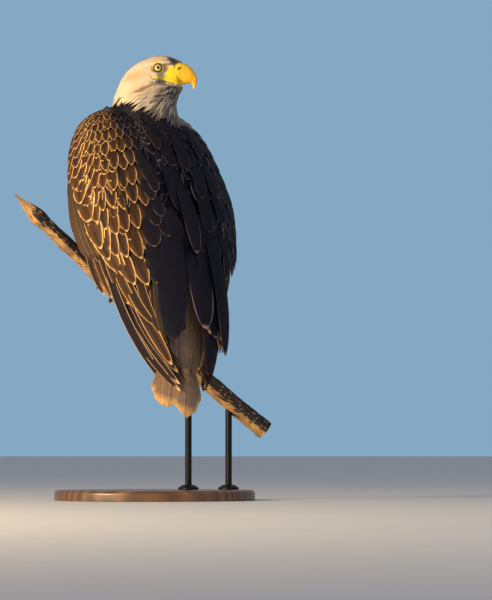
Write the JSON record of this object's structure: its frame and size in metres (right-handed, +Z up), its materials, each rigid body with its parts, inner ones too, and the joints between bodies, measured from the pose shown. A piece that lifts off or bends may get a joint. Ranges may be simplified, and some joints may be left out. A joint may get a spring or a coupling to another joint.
{
  "type": "bald eagle",
  "caption": "Life-size perched bald eagle with folded wings and turned head, gripping a cut length of sloping branch on a plain display stand.",
  "frame": {"origin": "centre of the display base's underside, on the floor", "axes": "+Z up; +X towards the bill and the branch's sawn end; -Y towards the viewer, who sees the bird's back"},
  "size_m": [0.5346, 0.3889, 0.9446],
  "materials": {
    "plumage_white": "soft small white feathers, faintly cream",
    "plumage_brown": "dark brown feathers with paler worn edges",
    "flight_feathers": "blackish brown stiff vanes",
    "tail_feathers": "white stiff vanes with dusky wear",
    "bill_horn": "smooth yellow horn",
    "eye": "wet pale yellow iris under a clear front",
    "foot_skin": "scaly yellow skin",
    "claw_horn": "polished black horn",
    "bark": "weathered grey-brown bark, grooved lengthwise",
    "stand_wood": "dark satin lacquer",
    "stand_metal": "satin black paint"
  },
  "bodies": {
    "root": {"perch": "bark", "bill_upper": "bill_horn", "bill_lower": "bill_horn", "eye_left": "eye", "eye_right": "eye", "head": "plumage_white", "neck": "plumage_white", "trunk": "plumage_brown", "tail": "tail_feathers", "wing_left": "plumage_brown", "tertials_left": "flight_feathers", "secondaries_left": "flight_feathers", "primaries_left": "flight_feathers", "thigh_left": "plumage_brown", "tarsus_left": "foot_skin", "foot_left": "foot_skin", "claw_inner_left": "claw_horn", "claw_middle_left": "claw_horn", "claw_outer_left": "claw_horn", "claw_hind_left": "claw_horn", "wing_right": "plumage_brown", "tertials_right": "flight_feathers", "secondaries_right": "flight_feathers", "primaries_right": "flight_feathers", "thigh_right": "plumage_brown", "tarsus_right": "foot_skin", "foot_right": "foot_skin", "claw_inner_right": "claw_horn", "claw_middle_right": "claw_horn", "claw_outer_right": "claw_horn", "claw_hind_right": "claw_horn", "stand_base": "stand_wood", "stand_collar_1": "stand_metal", "stand_rod_1": "stand_metal", "stand_collar_2": "stand_metal", "stand_rod_2": "stand_metal"}
  },
  "joints": []
}
